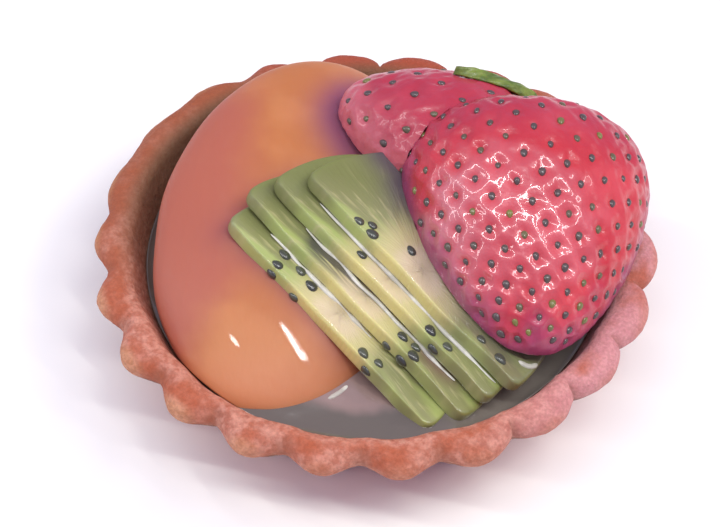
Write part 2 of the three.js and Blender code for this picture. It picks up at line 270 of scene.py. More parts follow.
def learns(piece, **marks):
    """Each corner of the piece's mesh keeps a value under each of these names."""
    for name, values in marks.items():
        attribute = piece.data.attributes.new(name, "FLOAT", "POINT")
        attribute.data.foreach_set("value", np.asarray(values, np.float32))


foot = bezier([
    (BASE_RADIUS - BASE_ROUNDING, 0),
    (BASE_RADIUS, 0),
    (BASE_RADIUS + 0.0004, BASE_ROUNDING),
], 8)
flank = bezier([
    (RIM_RADIUS - 0.0012, RIM_HEIGHT - 0.0042),
    (RIM_RADIUS + 0.0004, RIM_HEIGHT - 0.0024),
    (RIM_RADIUS, RIM_HEIGHT - 0.0005),
    (RIM_RADIUS - 0.0028, RIM_HEIGHT),
], 16)
crown = bezier([
    (RIM_RADIUS - 0.0028, RIM_HEIGHT),
    (RIM_RADIUS - 0.0046, RIM_HEIGHT + 0.0003),
    (LIP_RADIUS + 0.0002, RIM_HEIGHT - 0.0002),
    (LIP_RADIUS, LIP_HEIGHT),
], 16)
inner_corner = bezier([
    (INNER_FLOOR_RADIUS, FLOOR_THICKNESS + INNER_FILLET),
    (INNER_FLOOR_RADIUS - 0.0003, FLOOR_THICKNESS),
    (INNER_FLOOR_RADIUS - 0.0016, FLOOR_THICKNESS),
], 6)
outside = np.vstack([[(0, 0), (BASE_RADIUS - BASE_ROUNDING, 0)], foot, flank])
wall_foot = [(INNER_FLOOR_RADIUS, FLOOR_THICKNESS + INNER_FILLET)]
inside = np.vstack([crown, wall_foot, inner_corner, [(0, FLOOR_THICKNESS)]])
section = np.vstack([outside, inside])
is_outside = np.arange(len(section)) < len(outside)
crown_share = 0.12 + 0.88 * smooth(section[:, 0], LIP_RADIUS + 0.001, RIM_RADIUS - 0.0006)
inner_share = np.where(section[:, 1] < LIP_HEIGHT - 0.0001, 0, crown_share)
wall_share = smooth(section[:, 1], -0.014, RIM_HEIGHT - 0.005)
outer_share = np.where(section[:, 1] > RIM_HEIGHT - 0.002, crown_share, wall_share)
flute_share = np.where(is_outside, outer_share, inner_share)
sag_share = np.where(section[:, 0] < INNER_FLOOR_RADIUS, 0, smooth(section[:, 1], 0.008, RIM_HEIGHT))

section_mesh = bpy.data.meshes.new("pastry_shell")
section_mesh.from_pydata([(x, 0, z) for x, z in section], [(i, i + 1) for i in range(len(section) - 1)], [])
crust = put("pastry_shell", section_mesh)
learns(crust, flute_share=flute_share, sag_share=sag_share)


class Recipe:
    """A Geometry Nodes tree with named inputs, run once on an object and turned into plain mesh."""

    def __init__(self, name):
        self.tree = bpy.data.node_groups.new(name, "GeometryNodeTree")
        self.tree.interface.new_socket("Geometry", in_out="OUTPUT", socket_type="NodeSocketGeometry")
        self.add_input("Geometry", "Geometry")
        self.entry = Wire(self.tree).node("NodeGroupInput")
        self.values = {}

    def add_input(self, name, kind):
        return self.tree.interface.new_socket(name, in_out="INPUT", socket_type="NodeSocket" + kind)

    def value(self, name, value, kind="Float"):
        """A named input, the value that it will have, and the wire that brings it."""
        self.values[self.add_input(name, kind).identifier] = value
        return self.entry.also(name)

    def apply(self, piece, geometry):
        """Ends the tree with this geometry, runs it on the piece and leaves the piece a plain mesh."""
        realized = geometry.node("GeometryNodeRealizeInstances", sockets={0: geometry})
        material = self.value("Material", self.material, "Material")
        finished = realized.node("GeometryNodeSetMaterial", sockets={0: realized, "Material": material})
        finished.node("NodeGroupOutput", sockets={0: finished})
        modifier = piece.modifiers.new("recipe", "NODES")
        modifier.node_group = self.tree
        for identifier, value in self.values.items():
            modifier[identifier] = value
        plain(piece)


def plain(piece):
    """The piece's modifiers become part of its mesh."""
    graph = bpy.context.evaluated_depsgraph_get()
    graph.update()
    piece.data = bpy.data.meshes.new_from_object(piece.evaluated_get(graph))
    piece.modifiers.clear()


def belongs(piece, slot, *nodes):
    """The piece moves with the tart and stands for these nodes, which are hidden; the slot is not used."""
    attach(piece, "root")
    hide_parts(*nodes)


pastry = Finish(
    "baked_pastry",
    Roughness=0.72,
    Specular_IOR_Level=0.35,
    Subsurface_Weight=0.06,
    Subsurface_Scale=0.0015,
)
at = pastry.place()
notch = pastry.mark("notch")
across = split(at)
height = across.also("Z")
from_middle = length_of(stretch(at, (1.0, 1.0, 0.0)))
blotches = cloudy(at, 0.009)
flecks = cloudy(at, 0.0012, 4)
back_left = between(across.also("Y") - 0.4 * across, -0.005, 0.035)
inside = between(from_middle, RIM_RADIUS - 0.003, LIP_RADIUS)
uneven_radius = from_middle + 0.002 * (blotches - 0.5)
edge = between(uneven_radius, RIM_RADIUS - 0.002, RIM_RADIUS - 0.0004) * (1.0 - notch)
middle = between(from_middle, LIP_RADIUS, LIP_RADIUS + 0.0025) * (1.0 - edge)
right = between(across, 0.012, 0.036)
browned = between(blotches + 0.1 * back_left, 0.47, 0.62) * middle
grain = between(cloudy(at, 0.0005, 2), 0.35, 0.65)
crumb = blend(between(flecks, 0.35, 0.65), tone(194, 120, 94), tone(220, 154, 128))
# Painted light: the right side of the crust, turned toward the warm key light, is coloured a lighter pink.
pink = blend(right * 0.65, crumb, tone(226, 160, 166))
baked = blend(browned * 0.8, pink, tone(186, 94, 56))
# Painted shade: the back and left of the crust, away from the key light, are coloured darker brown, and the
# inside of the wall there darker still, where the peach shades it.
deep = blend(back_left * 0.75, baked, tone(160, 90, 54))
reddened = blend(between(across.also("Y"), 0.034, 0.041) * 0.5, deep, tone(182, 72, 50))
shaded = blend(back_left * inside * 0.75, reddened, tone(98, 88, 62))
left = between(0.0 - across, 0.004, 0.03)
# Painted highlight: on the left the rim's outer edge is coloured pale cream as a highlight; elsewhere the
# edge is a plain orange-brown bake.
edged = blend(left, tone(202, 122, 78), tone(228, 174, 114))
creamy = blend(edge * 0.4, shaded, edged)
speckled = blend(grain * 0.22, creamy, tone(120, 66, 44))
# Painted shade: the outer wall under the rim's notches, and the notches themselves, are coloured darker
# brown where shade falls.
below_rim = between(height, RIM_HEIGHT - 0.0028, RIM_HEIGHT - 0.0045)
under = below_rim * between(from_middle, LIP_RADIUS, LIP_RADIUS + 0.002)
toasted = blend(under * between(notch, 0.15, 0.5) * 0.8, speckled, tone(104, 78, 52))
pastry.feed(Base_Color=blend(between(notch, 0.6, 1.0) * 0.3, toasted, tone(140, 90, 66)))
pastry.relief(cloudy(at, 0.0011, 6, 0.7) + 0.6 * cloudy(at, 0.0035, 3), 0.00045)

recipe = Recipe("fluted_shell")
recipe.material = pastry.material
flutes = recipe.value("Flutes", float(FLUTES))
first_notch = recipe.value("First Notch", FIRST_NOTCH)
drift = recipe.value("Drift", math.radians(1.97))
drift_phase = recipe.value("Drift Phase", math.radians(67.2))
flute_depth = recipe.value("Flute Depth", 0.0026)
crisp = recipe.value("Crisp Notches", 0.62)
soft = recipe.value("Soft Notches", 1.6)
soft_angle = recipe.value("Soft Angle", math.radians(200))
calm_angle = recipe.value("Calm Angle", math.radians(148))
calm_share = recipe.value("Calm Share", 0.8)
crease_depth = recipe.value("Crease Depth", 0.0004)
slump_angle = recipe.value("Slump Angle", math.radians(85))
slump_inward = recipe.value("Slump Inward", 0.0004)
slump_down = recipe.value("Slump Down", 0.0025)
steps_round = recipe.value("Steps Round", FLUTES * STEPS_PER_FLUTE + 1, "Int")
steps_along = recipe.value("Steps Along", 120, "Int")
crumb_height = recipe.value("Crumb Height", 0.00028)
swell_height = recipe.value("Swell Height", 0.0009)
seed = recipe.value("Seed", 4.0)

profile = recipe.entry.node("GeometryNodeMeshToCurve", sockets={0: recipe.entry})
grid_sizes = {"Size X": 1.0, "Size Y": 1.0, "Vertices X": steps_round, "Vertices Y": steps_along}
grid = profile.node("GeometryNodeMeshGrid", sockets=grid_sizes)
place = split(grid.node("GeometryNodeInputPosition"))
turn = (place + 0.5) * (2 * math.pi)
station = place.also("Y") + 0.5


def sampled(name):
    """What the section's points hold under this name, at each station along it."""
    attribute = profile.node("GeometryNodeInputNamedAttribute", {"data_type": "FLOAT"}, {"Name": name})
    settings = {"mode": "FACTOR", "data_type": "FLOAT", "use_all_curves": True}
    sockets = {"Curves": profile, "Value": attribute, "Factor": station}
    return profile.node("GeometryNodeSampleCurve", settings, sockets)


share = sampled("flute_share")
point = split(share.also("Position"))
sag = sampled("sag_share")
even = turn + first_notch
angle = even + drift * (even - drift_phase).math("SINE", even - drift_phase)


def toward(side):
    """1 on the side of the shell at this angle, -1 on the side across from it."""
    return angle.math("COSINE", angle - side)


sharpness = crisp + (soft - crisp) * between(toward(soft_angle), -0.35, 0.25)
calm = calm_share * turn.math("MAXIMUM", toward(calm_angle), 0.0) ** 7
hollow = (1.0 - turn.math("ABSOLUTE", turn.math("SINE", turn * flutes * 0.5)) ** sharpness) * (1.0 - calm)


def wave(value, turns, phase):
    return value.math("SINE", value * turns + phase)


def pressed(value):
    """The slow unevenness of hand-pressed pastry round the shell."""
    return 0.5 * wave(value, 2, 0.6) + 0.3 * wave(value, 5, 2.1) + 0.2 * wave(value, 9, 0)


slump = turn.math("MAXIMUM", toward(slump_angle), 0.0) ** 6
inward = flute_depth * hollow - 0.0004 * pressed(angle) + slump_inward * slump
down = crease_depth * share * hollow ** 2 - 0.0003 * pressed(angle + 2) + slump_down * slump
radius = point.math("MAXIMUM", point - share * inward, 0.0)
height = point.also("Z") - sag * down
swept = angle.node("ShaderNodeCombineXYZ", sockets={
    0: radius * angle.math("COSINE", angle),
    1: radius * angle.math("SINE", angle),
    2: height,
})
shell = grid.node("GeometryNodeStoreNamedAttribute", {"data_type": "FLOAT", "domain": "POINT"}, {
    "Geometry": grid, "Name": "notch", "Value": hollow * share})
shell = shell.node("GeometryNodeSetPosition", sockets={"Geometry": shell, "Position": swept})
shell = shell.node("GeometryNodeMergeByDistance", sockets={"Geometry": shell, "Distance": MERGE_DISTANCE})
here = shell.node("GeometryNodeInputPosition")


def bumps(size, detail):
    sockets = {"Vector": here, "W": seed, "Scale": 1 / size, "Detail": detail}
    return here.node("ShaderNodeTexNoise", {"noise_dimensions": "4D"}, sockets) - 0.5


clear_of_base = between(split(here).also("Z"), 0.0004, 0.003)
bump_height = (crumb_height * bumps(0.0016, 3.0) + swell_height * bumps(0.007, 2.0)) * clear_of_base
raised = here.node("ShaderNodeVectorMath", {"operation": "SCALE"}, {
    0: here.node("GeometryNodeInputNormal"), "Scale": bump_height})
shell = shell.node("GeometryNodeSetPosition", sockets={"Geometry": shell, "Offset": raised})
shell = shell.node("GeometryNodeSetShadeSmooth", sockets={0: shell})
recipe.apply(crust, shell)
belongs(crust, "pastry", "crust")


# Filling. Dark chocolate cream poured into the shell, levelled and covered with a clear set
# glaze, which creeps a little way up the wall and the fruit that stands in it. A drop of glaze
# lies at the peach's foot, coloured near white as a painted glint.
FILLING_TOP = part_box("filling")[1].z
GAP = 0.0003
WALL_CLEARANCE = 0.0002
FLOOR_CLEARANCE = 0.00005
CREEP_HEIGHT = 0.0009
CREEP_REACH = 0.0009
STEPS_ROUND = 420
STEPS_INWARD = 150
SWELL_HEIGHT = 0.0002
KIWI_NODES = [f"kiwi_slice_{k}" for k in (1, 2, 3, 4)]


def inner_wall(height):
    """Radius of the shell's inner wall at a height."""
    bottom = FLOOR_THICKNESS + INNER_FILLET
    return INNER_FLOOR_RADIUS + (LIP_RADIUS - INNER_FLOOR_RADIUS) * (height - bottom) / (LIP_HEIGHT - bottom)


def lattice(rows, columns):
    """Faces of a grid of points, given row by row, its last column joined to its first."""
    faces = []
    for i in range(rows - 1):
        for j in range(columns):
            k = (j + 1) % columns
            faces.append((i * columns + j, i * columns + k, (i + 1) * columns + k, (i + 1) * columns + j))
    return faces


def solid(name, points, faces, finish):
    """A closed piece from points and faces, doubles merged, faces outwards, shaded smooth."""
    mesh = bpy.data.meshes.new(name)
    mesh.from_pydata(np.asarray(points).tolist(), [], faces)
    work = bmesh.new()
    work.from_mesh(mesh)
    bmesh.ops.remove_doubles(work, verts=work.verts, dist=MERGE_DISTANCE)
    bmesh.ops.dissolve_degenerate(work, edges=work.edges, dist=MERGE_DISTANCE / 10)
    bmesh.ops.recalc_face_normals(work, faces=work.faces)
    work.to_mesh(mesh)
    work.free()
    mesh.shade_smooth()
    mesh.materials.append(finish.material)
    return put(name, mesh)


def surface_tree(mesh):
    """A tree that finds the place on a mesh that is nearest to a point."""
    return BVHTree.FromPolygons([v.co for v in mesh.vertices], [p.vertices for p in mesh.polygons])


def standing_in(*nodes):
    """The nearest distance from a point to any of these solids."""
    trees = [surface_tree(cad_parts[node].data) for node in nodes]
    return lambda spot: min(tree.find_nearest(spot)[3] for tree in trees)


cream = Finish("dark_glazed_cream", Roughness=0.3, Coat_Weight=0.9, Coat_Roughness=0.06)
at = cream.place()
from_middle = length_of(stretch(at, (1.0, 1.0, 0.0)))
# The cream is coloured lighter towards the middle and darker in a band by the wall.
milky = between(from_middle + 0.006 * (cloudy(at, 0.01, 3) - 0.5), 0.0315, 0.0285)
# Painted light: the cream is coloured lighter on the right, where the front strawberry shades it.
right = between(split(at), 0.008, 0.02)
band = blend(right, tone(100, 94, 82), tone(124, 118, 108))
cream.feed(Base_Color=blend(milky, band, tone(150, 128, 118)))
cream.relief(cloudy(at, 0.006, 2) + 0.1 * cloudy(at, 0.0008, 3), 0.0005)

to_fruit = standing_in("peach_slice", *KIWI_NODES)
edge = inner_wall(FILLING_TOP)
around = np.linspace(0, 2 * math.pi, STEPS_ROUND, endpoint=False)
bottom = FLOOR_THICKNESS + FLOOR_CLEARANCE
rings = [(0, bottom), (INNER_FLOOR_RADIUS - 0.002, bottom)]
rings += [(inner_wall(h) - WALL_CLEARANCE, h) for h in np.linspace(FLOOR_THICKNESS + 0.002, FILLING_TOP, 6)]
points = [(r * math.cos(a), r * math.sin(a), h) for r, h in rings for a in around]
out = np.linspace(edge, 0, STEPS_INWARD)[:, None]
flat = np.full((STEPS_INWARD, STEPS_ROUND), FILLING_TOP)
level = np.stack([out * np.cos(around), out * np.sin(around), flat], -1)
apart = np.array([to_fruit(Vector(spot)) for spot in level.reshape(-1, 3)]).reshape(level.shape[:2])
creep = np.exp(-np.maximum(0, apart - GAP) / CREEP_REACH)
for _ in range(6):
    creep = (creep + np.roll(creep, 2, 1) + np.roll(creep, -2, 1)) / 3
    creep[1:-1] = (creep[:-2] + creep[1:-1] + creep[2:]) / 3
lift = np.minimum(creep + np.exp(-(edge - out) / CREEP_REACH), 1)
swell = SWELL_HEIGHT * np.sin(310 * level[..., 0] + 1) * np.sin(260 * level[..., 1] + 2)
level[..., 2] += CREEP_HEIGHT * lift + swell
points = np.vstack([points, level.reshape(-1, 3)])
filling = solid("glazed_filling", points, lattice(len(points) // len(around), len(around)), cream)
belongs(filling, "filling", "filling")


def ripple(points, size, seed):
    """Smooth random values about 0 over points, a few sine waves in seeded directions."""
    draw = np.random.default_rng(seed)
    total = np.zeros(len(points))
    for _ in range(9):
        direction = draw.normal(size=3)
        direction *= draw.uniform(0.7, 1.5) * 2 * math.pi / (size * np.linalg.norm(direction))
        total += np.sin(points @ direction + draw.uniform(0, 2 * math.pi))
    return total / 3


def bead(name, path, up, radius, uneven, seed):
    """A thin drop drawn out along a path, tapering to both ends, coloured near white as a painted glint."""
    share = np.linspace(0, 1, len(path))
    ahead = np.gradient(path, axis=0)
    ahead /= np.linalg.norm(ahead, axis=1, keepdims=True)
    aside = np.cross(ahead, up)
    aside /= np.linalg.norm(aside, axis=1, keepdims=True)
    above = np.cross(aside, ahead)
    along = np.column_stack([share, 0 * share, 0 * share])
    swollen = np.clip(1 + uneven * ripple(along, 0.2, seed), 0.35, 1.5)
    girth = radius * np.clip(2.6 * np.sqrt(share * (1 - share)), 0, 1) * swollen
    turn = np.linspace(0, 2 * math.pi, DROP_SIDES, endpoint=False)[None, :, None]
    ring = aside[:, None] * np.cos(turn) + DROP_FLATNESS * above[:, None] * np.sin(turn)
    points = path[:, None] + girth[:, None, None] * ring
    return solid(name, points.reshape(-1, 3), lattice(len(path), turn.size), glaze)


FOOT_DROP = [(-0.0073, -0.0280), (-0.0054, -0.0270), (-0.0040, -0.0252)]
FOOT_DROP_RADIUS = 0.0004
DROP_UNEVENNESS = 0.02
DROP_STEPS = 60
DROP_SIDES = 14
DROP_FLATNESS = 0.7

# Painted highlight: this glaze is coloured near white, so each drop and streak of it shows as a white glint
# from any side.
glaze = Finish("gathered_glaze", Base_Color=tone(228, 228, 208), Roughness=0.35)
at = glaze.place()
glaze.feed(Alpha=0.6 + 0.4 * between(cloudy(at, 0.004), 0.4, 0.6))
path = bezier([(x, y, FILLING_TOP + FOOT_DROP_RADIUS) for x, y in FOOT_DROP], DROP_STEPS)
drop = bead("filling_glaze", path, (0, 0, 1), FOOT_DROP_RADIUS, DROP_UNEVENNESS, 48)
belongs(drop, "filling", "filling")


# Peach. A thick slice of poached peach, low crowned and deep sided, glazed. It stands on the
# filling against the left wall, its back end on the rim, and the kiwi and the back strawberry
# press into its right side.
PEACH_CENTRE = Vector((-0.0123, 0.0021, 0.015))
PEACH_HALF_WIDTH = 0.022
PEACH_HALF_LENGTH = 0.0334
PEACH_CROWN = 0.0075
PEACH_KEEL = 0.016
PEACH_TILT = math.radians(8)
PEACH_ROLL = math.radians(10)
PEACH_TURN = math.radians(-10.4)
JUICE_REACH = 0.0045
KIWI_JUICE_REACH = 0.0018
PEACH_WET_SPOTS = [
    ((-0.0122, -0.0215, 0.0163), (0.0048, 0.0008, 0.006)),
    ((-0.0214, -0.0216, 0.0169), (0.0016, 0.0004, 0.004)),
]
PEACH_WET_TURN = math.radians(-53)
PRESS_CLEARANCE = 0.0005
RIM_CLEARANCE = 0.0008


def against_wall(points):
    """Fruit that would reach into the shell's wall or its lip is pressed flat against it."""
    radius = np.hypot(points[:, 0], points[:, 1])
    limit = inner_wall(np.minimum(points[:, 2], LIP_HEIGHT)) - PRESS_CLEARANCE
    pressed_in = np.minimum(1, limit / np.maximum(radius, 1e-9))
    scale = np.where(points[:, 2] < RIM_HEIGHT + RIM_CLEARANCE, pressed_in, 1)
    points[:, :2] *= scale[:, None]
    return points


def carved(piece, *nodes):
    """The piece makes room for these solids."""
    for node in nodes:
        cutter = put("cutter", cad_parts[node].data.copy())
        work = bmesh.new()
        work.from_mesh(cutter.data)
        bmesh.ops.remove_doubles(work, verts=work.verts, dist=MERGE_DISTANCE)
        work.to_mesh(cutter.data)
        work.free()
        room = piece.modifiers.new("room", "BOOLEAN")
        room.object = cutter
        room.operation = "DIFFERENCE"
        room.solver = "EXACT"
        plain(piece)
        bpy.data.objects.remove(cutter)


peach_flesh = Finish(
    "poached_peach",
    Roughness=0.45,
    Specular_IOR_Level=0.3,
    Coat_Roughness=0.07,
    Subsurface_Weight=0.25,
    Subsurface_Radius=(1.0, 0.45, 0.2),
    Subsurface_Scale=0.003,
)
at = peach_flesh.place()
turned = at.node("ShaderNodeMapping", {"vector_type": "TEXTURE"}, {
    "Vector": at, "Location": tuple(PEACH_CENTRE), "Rotation": (0, 0, PEACH_TURN)})
juice = peach_flesh.mark("juice")
sideways = split(at)
nearer = 0.009 * between(sideways.also("Y"), -0.008, -0.026)
patches = cloudy(at, 0.014, 3)
blush = between(sideways + nearer + 0.012 * (patches - 0.5), -0.015, -0.025)
flesh = blend(between(patches, 0.4, 0.65), tone(188, 118, 68), tone(198, 130, 80))
rosy = blend(blush * 0.9, flesh, tone(178, 100, 80))
pale_foot = blend(between(sideways.also("Y"), -0.021, -0.029) * 0.5, rosy, tone(212, 146, 108))
# Painted shadow: the peach is coloured dark purple next to the back strawberry, and less next to the kiwi,
# as their cast shadow.
peach_flesh.feed(Base_Color=blend(juice * 0.8, pale_foot, tone(118, 60, 108)))
wet = 0.0
for spot, sizes in PEACH_WET_SPOTS:
    laid = at.node("ShaderNodeMapping", {"vector_type": "TEXTURE"}, {
        "Vector": at, "Location": spot, "Rotation": (0, 0, PEACH_WET_TURN), "Scale": sizes})
    wet = between(length_of(laid), 1.0, 0.5) + wet
peach_flesh.feed(Coat_Weight=wet * 0.9)
fibres = stretch(turned, (1.0, 0.22, 1.0))
peach_flesh.relief(cloudy(fibres, 0.0022, 3) * 0.5 + 0.5 * cloudy(at, 0.006, 2), 0.0002)

ball = bmesh.new()
bmesh.ops.create_icosphere(ball, subdivisions=7, radius=1)
points = np.array([v.co for v in ball.verts])
faces = [[v.index for v in f.verts] for f in ball.faces]
ball.free()
points[:, 2] *= np.where(points[:, 2] > 0, PEACH_CROWN, PEACH_KEEL)
points[:, :2] *= (PEACH_HALF_WIDTH, PEACH_HALF_LENGTH)
points *= 1 + 0.006 * ripple(points, 0.02, 3)[:, None]
turn_peach = Matrix.Rotation(PEACH_TURN, 3, "Z") @ Matrix.Rotation(PEACH_ROLL, 3, "Y")
turn_peach = turn_peach @ Matrix.Rotation(PEACH_TILT, 3, "X")
points = points @ np.array(turn_peach).T + np.array(PEACH_CENTRE)
points[:, 2] = np.maximum(points[:, 2], FILLING_TOP)
peach = solid("peach", against_wall(points), faces, peach_flesh)
carved(peach, *KIWI_NODES, "strawberry_back")
to_berry = standing_in("strawberry_back")
to_kiwi = standing_in(*KIWI_NODES)
# Each corner learns how near the back strawberry and the kiwi it lies, for the painted shadow they cast.
juice = []
for corner in peach.data.vertices:
    red_juice = math.exp(-((to_berry(corner.co) / JUICE_REACH) ** 2))
    juice.append(max(red_juice, 0.45 * math.exp(-to_kiwi(corner.co) / KIWI_JUICE_REACH)))
learns(peach, juice=juice)
belongs(peach, "peach", "peach_slice")


# Kiwi. Four thin half slices of ripe kiwi, peeled, cut a little short of the heart and laid one
# on the other like roof tiles from the peach down to the front wall. Glazed. Each shows its pale
# heart, the rays round it and the small dark seeds.
KIWI_EDGE_MIDDLE = Vector((-0.00765, -0.019, 0.0189))
KIWI_HEADING = math.radians(-44)
KIWI_FALL = math.radians(17.4)
KIWI_ROLL = math.radians(12)
KIWI_THICKNESS = 0.0027
KIWI_HEART = 0.003
KIWI_SLICES = [
    {"radius": 0.0226, "across": 0.0, "along": 0.0006},
    {"radius": 0.0242, "across": 0.004, "along": 0.0012},
    {"radius": 0.0238, "across": 0.0073, "along": 0.0024},
    {"radius": 0.0228, "across": 0.0102, "along": 0.0048},
]
KIWI_CORNER = 0.0016
KIWI_BEVEL = 0.0007
KIWI_SWELL = 0.00022
KIWI_SEED_SIZE = (0.002, 0.00145, 0.0009)
SEED_REACH = 0.001
MM_PER_METRE = 1000
KIWI_FACE_SEEDS = [
    [(-12.7, 3.2), (-12, 0.8), (-9.1, 3.1), (-6.2, 2.6), (7.1, 0.9), (9.8, 1.6)],
    [(8.8, 2), (11.3, 2.4), (12.2, 0.8)],
    [(-5.9, 1.9), (10, 1.1), (13.6, 1.2)],
    [(-12.1, 0.8), (-10.3, 2), (-9.2, 0.8), (-3.5, 3.9), (14, 1.5), (18.1, 1.3)],
]
KIWI_SIDE_SEEDS = [[(-11.8, 1.6), (-6.8, 1.7), (9.2, 1.5)], [(8, 1.7), (11.2, 1.7)], [(12.2, 1.4)], []]
KIWI_SHADE = [(0.15, 0.1), (1.0, 0.6), (0.15, 0.1)]
GLAZE_SPANS = [(0.12, 0.62), (0.16, 0.9), (0.06, 0.97)]
GLAZE_RADIUS = 0.00036
GLAZE_UNEVENNESS = 0.35
SHADE_REACH = 0.0028
STAIN_REACH = 0.0035
TIP_DROP = [(0.0215, -0.0252, 0.0171), (0.0233, -0.0266, 0.0164), (0.0247, -0.0250, 0.0160)]
TIP_DROP_RADIUS = 0.00045


def kiwi_frame(k):
    """A slice's own frame: X along its straight edge, Y across it, Z out of its upper face."""
    along = Vector((
        math.cos(KIWI_HEADING) * math.cos(KIWI_FALL),
        math.sin(KIWI_HEADING) * math.cos(KIWI_FALL),
        -math.sin(KIWI_FALL),
    ))
    level = Vector((-math.sin(KIWI_HEADING), math.cos(KIWI_HEADING), 0))
    across = Matrix.Rotation(-KIWI_ROLL, 3, along) @ level
    normal = along.cross(across)
    middle = KIWI_EDGE_MIDDLE + along * KIWI_SLICES[k]["along"] + across * KIWI_SLICES[k]["across"]
    middle += normal * k * (KIWI_THICKNESS + GAP)
    turned = Matrix((along, across, normal)).transposed().to_4x4()
    return Matrix.Translation(middle) @ turned


def kiwi_outline(radius, count):
    """The half slice's outline round its heart, its two corners rounded, evenly spaced."""
    reach = radius - KIWI_CORNER
    low = KIWI_CORNER - KIWI_HEART
    side = math.sqrt(reach ** 2 - low ** 2)
    corner = math.atan2(low, side)
    bend = np.linspace(-math.pi / 2, corner, 12)
    right = np.column_stack([side + KIWI_CORNER * np.cos(bend), low + KIWI_CORNER * np.sin(bend)])
    sweep = np.linspace(corner, math.pi - corner, 120)
    bow = np.column_stack([radius * np.cos(sweep), radius * np.sin(sweep)])
    left = right[::-1] * (-1, 1)
    path = np.vstack([right, bow[1:-1], left, right[:1]])
    steps = np.append(0, np.cumsum(np.hypot(*np.diff(path, axis=0).T)))
    even = np.linspace(0, steps[-1], count, endpoint=False)
    return np.column_stack([np.interp(even, steps, path[:, 0]), np.interp(even, steps, path[:, 1])])


def corners_of(mesh):
    """The places of a mesh's corners, a row for each."""
    places = np.empty(len(mesh.vertices) * 3)
    mesh.vertices.foreach_get("co", places)
    return places.reshape(-1, 3)


def moved(points, matrix):
    """The points carried by a 4 by 4 matrix."""
    matrix = np.array(matrix)
    return points @ matrix[:3, :3].T + matrix[:3, 3]


kiwi_flesh = Finish(
    "kiwi_flesh",
    Coat_Roughness=0.07,
    Subsurface_Weight=0.2,
    Subsurface_Radius=(0.7, 1.0, 0.35),
    Subsurface_Scale=0.0015,
)
side = kiwi_flesh.mark("side")
covered = kiwi_flesh.mark("covered")
stain = kiwi_flesh.mark("stain")
cut = kiwi_flesh.start("ShaderNodeUVMap", {"uv_map": "from_heart"})
out = length_of(cut)
ray = cut.node("ShaderNodeVectorMath", {"operation": "NORMALIZE"}, {0: cut})
lifted = ray.node("ShaderNodeCombineXYZ", sockets={2: out * 0.18})
ray_place = ray.node("ShaderNodeVectorMath", {"operation": "ADD"}, {0: ray, 1: lifted})
fine_rays = cloudy(ray_place, 0.055, 3, 0.6)
broad_rays = cloudy(ray_place, 0.22, 2)
at = kiwi_flesh.place()
patches = cloudy(at, 0.006, 3)
far_back = between(split(at).also("Y"), -0.007, 0.003)
kiwi_flesh.feed(Roughness=0.3 + 0.4 * far_back, Coat_Weight=0.8 - 0.7 * far_back)
bright = between(broad_rays + 0.4 * (patches - 0.5) - 0.3 * far_back, 0.4, 0.62)
green = blend(bright, tone(144, 148, 93), tone(170, 184, 106))
ray_share = between(fine_rays, 0.5, 0.72) * (1.0 - between(out, 0.75, 1.0))
rayed = blend(ray_share, green, tone(192, 188, 132))
heart_edge = out + 0.16 * (fine_rays - 0.5) + 0.1 * (patches - 0.5)
pale = blend(between(heart_edge, 0.48, 0.24), rayed, tone(206, 198, 136))
cream_heart = blend(between(heart_edge, 0.26, 0.12), pale, tone(224, 208, 164))
# Painted shade: toward the back, by the strawberries, the kiwi is coloured a darker, duller green; the rays
# above are darkened there too.
dull = blend(far_back * 0.6, cream_heart, tone(100, 110, 50))
yellow = blend(side * between(heart_edge, 0.5, 0.2), dull, tone(220, 210, 128))
# Painted shade: the low end of each slice, by the front wall, is coloured darker.
low_end = between(split(at), 0.014, 0.026)
dusky = blend(low_end * 0.5, yellow, tone(100, 98, 70))
skin_side = blend(between(out, 0.95, 1.0) * 0.6, dusky, tone(120, 130, 64))
striped = between(cloudy(stretch(cut, (2.0, 40.0, 1.0)), 1.0, 3), 0.2, 0.5)
shadow = blend(between(split(cut), 0.0, 0.4), tone(66, 63, 58), tone(128, 98, 84))
streaked = blend(between(covered * striped, 0.08, 0.7) * 0.9, skin_side, shadow)
# Painted shadow: next to the strawberries the kiwi is coloured dark purple, as their cast shadow.
stained = stain * (0.35 + 0.4 * far_back)
kiwi_flesh.feed(Base_Color=blend(stained, streaked, tone(76, 56, 88)))
kiwi_flesh.relief(fine_rays * 0.7 + 0.3 * cloudy(at, 0.0015, 3), 0.00025)


def marked(piece, k):
    """Each corner of the mesh learns where it lies in its slice: from the heart, on the side
    under the straight edge, in the shade of the slice above it, and in the strawberries' painted shadow."""
    points = corners_of(piece.data)
    local = moved(points, kiwi_frame(k).inverted())
    radius = KIWI_SLICES[k]["radius"]
    side = smooth(local[:, 1], 0.0007, 0.0001)
    share = local[:, 0] / radius
    if k + 1 < len(KIWI_SLICES):
        edge = KIWI_SLICES[k + 1]["across"] - KIWI_SLICES[k]["across"]
        short_of_edge = np.minimum(local[:, 1] - edge, 0)
        near = np.exp(-((short_of_edge / SHADE_REACH) ** 2)) * smooth(-local[:, 2], 0.0006, 0.0)
        middle_shade, end_shade = KIWI_SHADE[k]
        upper = np.exp(-(((share + 0.36) / 0.3) ** 2))
        lower = np.exp(-(((share - 0.62) / 0.25) ** 2))
        covered = near * np.maximum(middle_shade * upper, end_shade * lower)
        stain = 0 * share
    else:
        covered = 0 * share
        apart = np.array([to_berries(Vector(point)) for point in points])
        stain = np.exp(-((apart / STAIN_REACH) ** 2))
    learns(piece, side=side, covered=covered, stain=stain)
    corners = np.empty(len(piece.data.loops), int)
    piece.data.loops.foreach_get("vertex_index", corners)
    marks = piece.data.uv_layers.new(name="from_heart")
    from_heart = (local[:, :2] - (0, KIWI_HEART)) / radius
    marks.data.foreach_set("uv", from_heart[corners].ravel())


